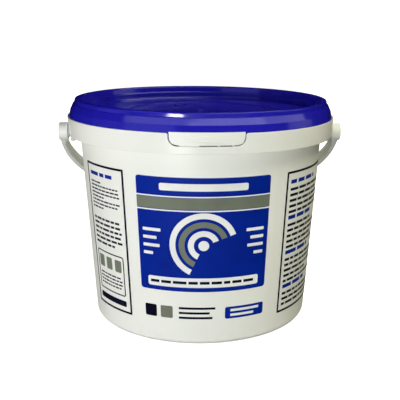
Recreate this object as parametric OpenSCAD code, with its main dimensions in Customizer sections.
// Wall filler tub: a tapered pail with a collar, a tear-off tab in the collar, a press-on lid,
// a bail handle on two ears, and the paste inside under a cover film.
// Millimetres, +Z up, the tab faces -Y, the handle hangs at +Y and turns about X.

/* [Pail] */
// Outer radius of the wall, carried down to the ground
base_r = 81.3; // [76:0.1:85]
// Outer radius of the wall at the rim
rim_r = 91.6; // [88:0.1:96]
// Height from the ground to the top of the rim
pail_h = 162.4; // [140:0.1:200]
// Thickness of the wall
wall_t = 1.4; // [1:0.1:2]
// Thickness of the floor
floor_t = 1.6; // [1.2:0.1:2.4]
// Radius of the rounded bottom edge
base_edge_r = 4; // [3:0.5:6]
// Width of the flat ring the pail stands on
foot_w = 4; // [2.5:0.5:8]
// Height of the floor's underside above the ground
foot_h = 3.5; // [2.5:0.5:5]
// Number of stiffening ribs under the floor
base_ribs = 8; // [4:1:16]
// Depth of the ribs under the floor
base_rib_h = 2; // [1:0.25:2.25]
// Thickness of the ribs under the floor
base_rib_t = 1.2; // [0.8:0.1:2]
// Radius of the stiffening ring under the floor
base_ring_r = 26; // [15:1:50]
// How far the rim bead stands out from the wall
rim_bead_w = 0.5; // [0.4:0.1:1.5]
// Height of the rim bead
rim_bead_h = 3.5; // [2.5:0.1:4.5]

/* [Collar] */
// Distance from the top of the rim down to the collar's top edge
collar_drop = 11; // [9:0.1:13]
// Height of the collar
collar_h = 13.6; // [13:0.1:18]
// Thickness of the collar
collar_t = 1.2; // [1:0.1:1.6]
// How far the collar leans in from its top edge to its bottom edge
collar_lean = 1.4; // [0:0.1:2]
// Width of the gutter between the wall and the collar, at the collar's top edge
gutter_w = 6.9; // [6.5:0.1:9]
// Radius of the collar's rounded edges
collar_edge_r = 0.4; // [0.2:0.05:0.45]
// Thickness of the flange that joins the collar to the wall
flange_t = 1.3; // [1:0.1:1.5]
// Number of gussets under the flange
gussets = 24; // [12:2:36]
// Thickness of a gusset
gusset_t = 1.2; // [0.8:0.1:2]
// Height of a gusset's lower edge above the collar's bottom edge
gusset_up = 0.6; // [0.2:0.1:1.5]

/* [Tear tab] */
// Width of the tab
tab_w = 48.6; // [30:0.5:60]
// Height of the tab, from its lower edge to the collar's top edge
tab_h = 7.6; // [7:0.1:7.8]
// Radius of the tab's lower corners
tab_corner_r = 5; // [2:0.5:7]
// How far the tab's top edge stands above the collar's
tab_up = 0.8; // [0:0.1:1]
// Width of the slit round the tab
slit_w = 0.7; // [0.6:0.05:1.2]
// Depth of the notch where the slit opens at the collar's top edge
slit_mouth = 0.9; // [0.5:0.1:1.5]
// Gap that is left at a torn bridge
bridge_gap = 0.3; // [0.2:0.05:0.4]
// Width of a bridge
bridge_w = 1.4; // [0.8:0.1:2.5]
// Number of bridges along the tab's lower edge
bridges = 5; // [2:1:7]
// Number of grip ribs on the tab
tab_ribs = 3; // [2:1:4]
// Length of a grip rib
tab_rib_l = 30; // [15:1:40]
// Width of a grip rib
tab_rib_w = 0.8; // [0.5:0.1:1.2]
// Height of a grip rib above the tab
tab_rib_h = 0.35; // [0.2:0.05:0.6]
// Spacing of the grip ribs
tab_rib_pitch = 2; // [1.6:0.1:2.2]

/* [Lid] */
// Thickness of the lid
lid_t = 1.2; // [1:0.1:1.5]
// Clearance between the lid and what it sits in or on
lid_gap = 0.2; // [0.15:0.05:0.4]
// How far the skirt reaches down behind the collar
skirt_drop = 6; // [3:0.5:8]
// Height of the skirt's break above the collar's top edge
break_up = 4.8; // [3.5:0.1:5.5]
// How far the skirt leans in from the collar's top edge up to its break
break_in = 1; // [0.4:0.1:1.4]
// Width of the step round the foot of the crest
step_w = 1; // [0.5:0.1:1.2]
// Height of the crest above that step
step_h = 3.2; // [2.4:0.1:3.8]
// Radius of the crest's rounded edges
crest_edge_r = 1.4; // [0.6:0.1:1.6]
// Depth of the dish below the crest
dish_d = 9.8; // [8.5:0.1:13]
// How far the dish's wall leans in on its way down to the ledge
dish_lean = 0.7; // [0.3:0.1:2]
// Width of the ledge halfway down the dish's wall
ledge_w = 1.5; // [1:0.1:4]
// Height of the ledge above the panel
ledge_h = 5.3; // [3:0.1:6]
// Depth of the seal ring that hangs outside the rim bead
seal_d = 5; // [3:0.5:7]
// Thickness of the seal ring
seal_t = 1; // [0.8:0.1:1.2]
// Outer radius of the moulded roundel on the panel
roundel_r = 5.5; // [4:0.5:8]
// Height of the roundel
roundel_h = 0.5; // [0.3:0.1:0.8]
// Width of the roundel's ring
roundel_w = 1.2; // [0.8:0.1:2.5]
// Distance of the roundel from the middle of the panel
roundel_out = 34; // [20:1:42]
// Turn of the roundel from the back of the panel towards the left, in degrees
roundel_turn = 26; // [0:1:90]
// Outer radius of the low ring moulded on the panel
ring_r = 55; // [52:1:75]
// Width of that ring
ring_w = 1.5; // [0.8:0.1:2.5]
// Height of that ring
ring_h = 0.5; // [0.3:0.1:0.8]
// Radius of the moulding gate's dimple in the middle of the panel
gate_r = 3; // [2:0.5:6]
// Depth of that dimple
gate_d = 0.5; // [0.2:0.1:0.7]

/* [Handle] */
// Distance from the collar's top edge down to the pivots
pivot_drop = 13.3; // [13:0.1:16]
// Radius of the rounded ears
ear_r = 7.5; // [6:0.5:10]
// Thickness of the ears
ear_t = 3; // [2.4:0.1:3.6]
// Depth of the flat seat in the inner face of an ear
seat_d = 0.3; // [0.2:0.05:0.6]
// Radius of the pivot pins
pin_r = 2.4; // [2:0.1:2.6]
// Running clearance round a pin
pin_gap = 0.08; // [0.04:0.01:0.1]
// Radius of the pins' snap heads
head_r = 3.2; // [2.9:0.1:3.6]
// Length of the pins' snap heads
head_l = 2.2; // [1.6:0.1:2.6]
// Width of the slit that splits a snap head
head_slit = 0.9; // [0.6:0.1:1.4]
// Clearance between the handle and the ears, and round the snap heads
side_gap = 0.35; // [0.3:0.05:0.5]
// Radius of the hubs
hub_r = 6.7; // [5:0.1:8]
// Thickness of the hubs
hub_t = 6.8; // [5:0.1:8]
// Clearance between the hubs and the collar
hub_gap = 0.5; // [0.4:0.1:1.5]
// Radius of the shoulder between a hub and its ear
shoulder_r = 4.4; // [3.5:0.1:5]
// Length of the straight arms, from the pivots to the bow
arm_l = 11.5; // [6:0.5:24]
// Width of the strap
strap_w = 10; // [7:0.5:11]
// Thickness of the strap at its beaded edges
strap_t = 3.4; // [2.6:0.1:3.8]
// Length of the thick root that tapers from a hub into the bow
root_l = 18; // [14:0.5:24]
// Thickness of the strap's web
web_t = 1.5; // [1:0.1:2]
// How far the strap is set back from the hubs' outer faces
strap_set = 0.4; // [0.2:0.1:1]
// Width of the grip
grip_w = 13; // [11:0.5:16]
// Thickness of the grip
grip_t = 4; // [3.8:0.1:5]
// Length of the grip, end to end of its full width
grip_l = 72; // [50:1:90]
// Number of ribs across the grip
grip_ribs = 11; // [5:2:17]
// Thickness of a grip rib
grip_rib_t = 1.2; // [0.8:0.1:2]
// Height of a grip rib
grip_rib_h = 0.7; // [0.4:0.1:1]
// Plain margin at each end of a grip rib
grip_margin = 1.5; // [1:0.25:3]
// Clearance between the hanging handle and the wall
rest_gap = 0.4; // [0.3:0.1:1]

/* [Filler] */
// Depth of the paste's surface below the top of the rim
headspace = 20.5; // [16:0.5:80]
// Clearance between the paste and the wall
fill_gap = 0.3; // [0.2:0.05:0.6]
// Thickness of the cover film
film_t = 0.3; // [0.2:0.05:0.5]
// Clearance between the film's edge and the wall
film_gap = 0.8; // [0.5:0.1:2]

/* [Hidden] */
$fn = 96;
// Steps in a rounded corner of an outline
arc_steps = 4;
// How far a cut or a joined piece runs past the face it meets
overrun = 1;
// Extra angle of a sector whose ends are trimmed later
spare_angle = 2;

// Wall
wall_slope = (rim_r - base_r) / pail_h;
bead_z = pail_h - rim_bead_h;
floor_top = foot_h + floor_t;
foot_in = base_r - base_edge_r - foot_w;
step_in = floor_t * tan(22.5);

// Collar
collar_top = pail_h - collar_drop;
collar_foot = collar_top - collar_h;
collar_r = base_r + wall_slope * collar_top + gutter_w + collar_t;
collar_slope = collar_lean / collar_h;
flange_top = collar_top - tab_h - slit_w;
flange_foot = flange_top - flange_t;

// Tab
tab_foot = collar_top - tab_h;
tab_mid = collar_top - tab_h / 2;

// Lid
crest_z = pail_h + lid_gap + lid_t;
crest_out = rim_r + rim_bead_w + lid_gap + lid_t;
plug_r = rim_r - wall_t - lid_gap;
crest_in = plug_r - lid_t;
panel_z = crest_z - dish_d;
ledge_z = panel_z + ledge_h;
ledge_out = crest_in - dish_lean;
ledge_in = ledge_out - ledge_w;
skirt_z = collar_top - skirt_drop;
step_z = crest_z - step_h;
seal_in = rim_r + rim_bead_w + lid_gap;

// Handle
pivot_z = collar_top - pivot_drop;
ear_out = collar_r - collar_lean;
ear_in = ear_out - ear_t;
hub_in = collar_r + hub_gap;
hub_out = hub_in + hub_t;
bow_r = hub_out - strap_set - strap_t / 2;
reach = arm_l + bow_r - grip_t / 2;
root_x = sqrt(pow(bow_r, 2) - pow(root_l - arm_l, 2));
neck_x = ear_in + seat_d - side_gap;
head_end = neck_x - head_l;
shoulder_x = collar_at(pivot_z + shoulder_r) + side_gap;
rest_far = sqrt((pow(reach, 2) + pow(grip_w / 2, 2)) * (1 + pow(wall_slope, 2)));
rest_near = base_r + wall_slope * pivot_z + rest_gap;
rest_lean = atan2(wall_slope * reach - grip_w / 2, reach + wall_slope * grip_w / 2);
rest_angle = rest_lean + acos(rest_near / rest_far);

// Filler
fill_z = pail_h - headspace;

// Radius of the wall's outer face and inner face at a height
function wall_at(z) = base_r + wall_slope * z;
function inner_at(z) = wall_at(z) - wall_t;

// Radius of the collar's outer face and inner face at a height
function collar_at(z) = collar_r - collar_slope * (collar_top - z);
function gutter_at(z) = collar_at(z) - collar_t;

// Radius of the lid's skirt at a height, clear of the collar
function skirt_at(z) = gutter_at(z) - lid_gap;

function unit(v) = v / norm(v);

// Arc of radius r that rounds the corner p between the points a and b
function corner(a, p, b, r) =
    let (u = unit(a - p), v = unit(b - p), half = acos(u * v) / 2, turn = 180 - 2 * half,
         mid = p + unit(u + v) * r / sin(half),
         from = p + u * r / tan(half) - mid, to = p + v * r / tan(half) - mid)
    [for (i = [0 : arc_steps])
        let (w = turn * i / arc_steps)
        mid + (from * sin(turn - w) + to * sin(w)) / sin(turn)];

// Outline through points [x, y, radius], each corner rounded by its own radius
function rounded(pts) =
    let (n = len(pts), at = [for (p = pts) [p.x, p.y]])
    [for (i = [0 : n - 1])
        each pts[i][2] > 0 ? corner(at[(i + n - 1) % n], at[i], at[(i + 1) % n], pts[i][2]) : [at[i]]];

// Section of the pail's wall, floor and rim bead
module pail_section() {
    inner_edge_r = base_edge_r - wall_t;
    polygon(rounded([
        [0, foot_h, 0],
        [foot_in - foot_h, foot_h, 0],
        [foot_in, 0, 0],
        [base_r, 0, base_edge_r],
        [wall_at(bead_z), bead_z, 0],
        [rim_r + rim_bead_w, bead_z, rim_bead_w / 2],
        [rim_r + rim_bead_w, pail_h, rim_bead_w],
        [rim_r - wall_t, pail_h, wall_t / 2],
        [inner_at(floor_t), floor_t, inner_edge_r],
        [foot_in + step_in, floor_t, 0],
        [foot_in - foot_h + step_in, floor_top, 0],
        [0, floor_top, 0]]));
    translate([base_ring_r, foot_h - base_rib_h])
        square([base_rib_t, base_rib_h + floor_t / 2]);
}

// Section of the collar's band, up to a height
module collar_section(top) {
    polygon(rounded([
        [gutter_at(collar_foot), collar_foot, collar_edge_r],
        [collar_at(collar_foot), collar_foot, collar_edge_r],
        [collar_at(top), top, collar_edge_r],
        [gutter_at(top), top, collar_edge_r]]));
}

// Section of the flange from the wall to the collar
module flange_section() {
    polygon([
        [wall_at(flange_foot) - wall_t / 2, flange_foot],
        [collar_at(flange_foot) - collar_t / 2, flange_foot],
        [collar_at(flange_top) - collar_t / 2, flange_top],
        [wall_at(flange_top) - wall_t / 2, flange_top]]);
}

// Outline of the tab seen from the front, grown by a margin on its three closed sides
module tab_outline(grow) {
    half = tab_w / 2 + grow;
    high = collar_top + tab_up + overrun;
    polygon(rounded([
        [-half, tab_foot - grow, tab_corner_r + grow],
        [half, tab_foot - grow, tab_corner_r + grow],
        [half, high, 0],
        [-half, high, 0]]));
}

// Outline of the slot the tab lies in, with a notch at each end of the slit
module slot_outline() {
    tab_outline(slit_w);
    for (side = [-1, 1])
        translate([side * (tab_w / 2 + slit_w), collar_top])
            circle(r = slit_mouth, $fn = 4);
}

// Block through the front of the collar, from the gutter outwards
module through_front() {
    near = wall_at(collar_top) + gutter_w / 4;
    translate([0, -near, 0])
        rotate([90, 0, 0])
            linear_extrude(height = collar_r + overrun - near)
                children();
}

// Rod along X that is centred on the pivots
module pivot_rod(r, from, to) {
    translate([from, 0, pivot_z])
        rotate([0, 90, 0])
            cylinder(r = r, h = to - from);
}

// The two ears: rounded plates below the flange that follow the collar's curve
module ears() {
    intersection() {
        rotate_extrude()
            translate([ear_in, pivot_z - ear_r])
                square([ear_t, flange_top - pivot_z + ear_r]);
        union() {
            pivot_rod(ear_r, -collar_r, collar_r);
            translate([-collar_r, -ear_r, pivot_z])
                cube([2 * collar_r, 2 * ear_r, flange_top - pivot_z]);
        }
    }
}

// One gusset between the wall and the collar, under the flange
module gusset() {
    low = collar_foot + gusset_up;
    near = wall_at(low) - wall_t / 2;
    far = gutter_at(low) + collar_t / 2;
    translate([near, -gusset_t / 2, low])
        cube([far - near, gusset_t, flange_foot + flange_t / 2 - low]);
}

// One rib under the floor, from the ring to the foot
module base_rib() {
    low = foot_h - base_rib_h;
    high = foot_h + floor_t / 2;
    rotate([90, 0, 0])
        translate([0, 0, -base_rib_t / 2])
            linear_extrude(height = base_rib_t)
                polygon([
                    [base_ring_r + base_rib_t / 2, low],
                    [foot_in - low + step_in, low],
                    [foot_in - high + step_in, high],
                    [base_ring_r + base_rib_t / 2, high]]);
}

// White pail: wall, floor, rim bead, collar, flange and ears in one moulding
module pail() {
    color("WhiteSmoke")
    difference() {
        union() {
            rotate_extrude()
                union() {
                    pail_section();
                    flange_section();
                    collar_section(collar_top);
                }
            ears();
            for (i = [0 : gussets - 1])
                rotate([0, 0, 360 * (i + 1 / 2) / gussets])
                    gusset();
            for (i = [0 : base_ribs - 1])
                rotate([0, 0, 360 * i / base_ribs])
                    base_rib();
        }
        through_front()
            slot_outline();
        for (side = [0, 1])
            mirror([side, 0, 0]) {
                pivot_rod(pin_r + pin_gap, ear_in - overrun, collar_r + overrun);
                pivot_rod(head_r + side_gap, wall_at(pivot_z + head_r + side_gap) + side_gap, ear_in + seat_d);
            }
    }
}

// Tear-off tab: the piece of the collar inside the slit, with its torn bridges and grip ribs
module tear_tab() {
    bridge_l = slit_w - bridge_gap;
    rib_angle = 2 * asin(tab_rib_l / (2 * collar_r));
    side_angle = 2 * asin((tab_w / 2 + slit_w) / gutter_at(tab_foot)) + spare_angle;
    color("White")
    union() {
        intersection() {
            rotate_extrude(angle = side_angle, start = -90 - side_angle / 2)
                collar_section(collar_top + tab_up);
            through_front()
                union() {
                    tab_outline(0);
                    for (i = [0 : bridges - 1])
                        translate([(tab_w - 2 * tab_corner_r - bridge_w) * (i / (bridges - 1) - 1 / 2), 0])
                            translate([-bridge_w / 2, tab_foot - bridge_l])
                                square([bridge_w, bridge_l + tab_corner_r]);
                }
        }
        rotate_extrude(angle = rib_angle, start = -90 - rib_angle / 2)
            for (i = [0 : tab_ribs - 1])
                let (z = tab_mid + tab_rib_pitch * (i - (tab_ribs - 1) / 2))
                translate([collar_at(z) - collar_t / 2, z - tab_rib_w / 2])
                    square([collar_t / 2 + tab_rib_h, tab_rib_w]);
    }
}

// Section of the lid: skirt, crest, dish wall with its ledge, panel with its ring
module lid_section() {
    break_r = skirt_at(collar_top) - break_in;
    break_z = collar_top + break_up;
    union() {
        polygon(rounded([
            [0, panel_z, 0],
            [ledge_in, panel_z, ledge_h / 4],
            [ledge_in, ledge_z, ledge_w / 3],
            [ledge_out, ledge_z, ledge_w / 3],
            [crest_in, crest_z, crest_edge_r],
            [crest_out, crest_z, crest_edge_r],
            [crest_out, step_z, 0],
            [crest_out + step_w, step_z, step_w / 2],
            [break_r, break_z, 0],
            [skirt_at(collar_top), collar_top, 0],
            [skirt_at(skirt_z), skirt_z, lid_t / 4],
            [skirt_at(skirt_z) - lid_t, skirt_z, lid_t / 4],
            [skirt_at(collar_top) - lid_t, collar_top, 0],
            [break_r - lid_t, break_z, 0],
            [crest_out + step_w - lid_t, step_z, 0],
            [crest_out - lid_t, crest_z - lid_t, 0],
            [plug_r, crest_z - lid_t, 0],
            [ledge_out + lid_t, ledge_z - lid_t, lid_t / 2],
            [ledge_in + lid_t, ledge_z - lid_t, 0],
            [ledge_in + lid_t, panel_z - lid_t, 0],
            [0, panel_z - lid_t, 0]]));
        translate([seal_in, crest_z - lid_t - seal_d])
            square([seal_t, seal_d]);
        translate([ring_r - ring_w, panel_z - lid_t / 2])
            square([ring_w, lid_t / 2 + ring_h]);
    }
}

// Blue press-on lid with a recessed panel
module lid() {
    color("RoyalBlue")
    difference() {
        union() {
            rotate_extrude()
                lid_section();
            rotate([0, 0, roundel_turn])
                translate([0, roundel_out, panel_z - lid_t / 2])
                    rotate_extrude()
                        translate([roundel_r - roundel_w, 0])
                            square([roundel_w, lid_t / 2 + roundel_h]);
        }
        translate([0, 0, panel_z - gate_d])
            cylinder(r = gate_r, h = gate_d + overrun);
    }
}

// Section of the strap: a thin web between two round beads
module strap_section() {
    edge = (strap_w - strap_t) / 2;
    square([web_t, 2 * edge], center = true);
    for (side = [-1, 1])
        translate([0, side * edge])
            circle(r = strap_t / 2);
}

// Pivot pin with its shoulder and snap head, along +X
module pin() {
    rotate([0, 90, 0])
        rotate_extrude()
            polygon([
                [0, head_end],
                [pin_r - head_slit / 2, head_end],
                [head_r, neck_x - head_l / 4],
                [head_r, neck_x],
                [pin_r, neck_x],
                [pin_r, shoulder_x],
                [shoulder_r, shoulder_x],
                [shoulder_r, hub_in + overrun],
                [0, hub_in + overrun]]);
}

// One arm of the handle: hub, pin, straight strap and the root that stiffens it
module arm() {
    translate([hub_in, 0, 0])
        rotate([0, 90, 0])
            cylinder(r = hub_r, h = hub_t);
    difference() {
        pin();
        translate([head_end - overrun, -head_slit / 2, -head_r])
            cube([head_l + overrun, head_slit, 2 * head_r]);
    }
    translate([bow_r, arm_l, 0])
        rotate([90, 0, 0])
            linear_extrude(height = arm_l)
                strap_section();
    translate([0, 0, (strap_t - strap_w) / 2])
        linear_extrude(height = strap_w - strap_t)
            polygon([[hub_in, 0], [bow_r, 0], [root_x, root_l]]);
}

// Wide grip in the middle of the bow, with ribs across its outer face
module grip() {
    taper = grip_w - strap_w;
    rib_step = 2 * asin(grip_l / (2 * bow_r)) / grip_ribs;
    intersection() {
        rotate_extrude(angle = 180)
            translate([bow_r, 0])
                square([grip_t, grip_w], center = true);
        rotate([90, 0, 0])
            translate([0, 0, -bow_r - grip_t])
                linear_extrude(height = bow_r)
                    polygon([
                        [-grip_l / 2 - taper, -strap_w / 2],
                        [-grip_l / 2, -grip_w / 2],
                        [grip_l / 2, -grip_w / 2],
                        [grip_l / 2 + taper, -strap_w / 2],
                        [grip_l / 2 + taper, strap_w / 2],
                        [grip_l / 2, grip_w / 2],
                        [-grip_l / 2, grip_w / 2],
                        [-grip_l / 2 - taper, strap_w / 2]]);
    }
    for (i = [0 : grip_ribs - 1])
        rotate([0, 0, 90 + rib_step * (i - (grip_ribs - 1) / 2)])
            translate([bow_r, -grip_rib_t / 2, grip_margin - grip_w / 2])
                cube([grip_t / 2 + grip_rib_h, grip_rib_t, grip_w - 2 * grip_margin]);
}

// White bail handle, hanging behind the pail with its grip against the wall
module handle() {
    color("Gainsboro")
    translate([0, 0, pivot_z])
        rotate([-rest_angle, 0, 0])
            union() {
                for (side = [0, 1])
                    mirror([side, 0, 0])
                        arm();
                translate([0, arm_l, 0]) {
                    rotate_extrude(angle = 180)
                        translate([bow_r, 0])
                            strap_section();
                    grip();
                }
            }
}

// Filling paste, resting on the floor and level below the film
module filler() {
    low = floor_t + fill_gap;
    color("Ivory")
    rotate_extrude()
        polygon(rounded([
            [0, floor_top, 0],
            [foot_in - foot_h + step_in, floor_top, 0],
            [foot_in + step_in + fill_gap, low, 0],
            [inner_at(low) - fill_gap, low, base_edge_r - wall_t],
            [inner_at(fill_z) - fill_gap, fill_z, 0],
            [0, fill_z, 0]]));
}

// Clear film laid on the paste
module cover_film() {
    color("LightCyan")
    translate([0, 0, fill_z])
        cylinder(r = inner_at(fill_z) - film_gap, h = film_t);
}

pail();
tear_tab();
lid();
handle();
filler();
cover_film();
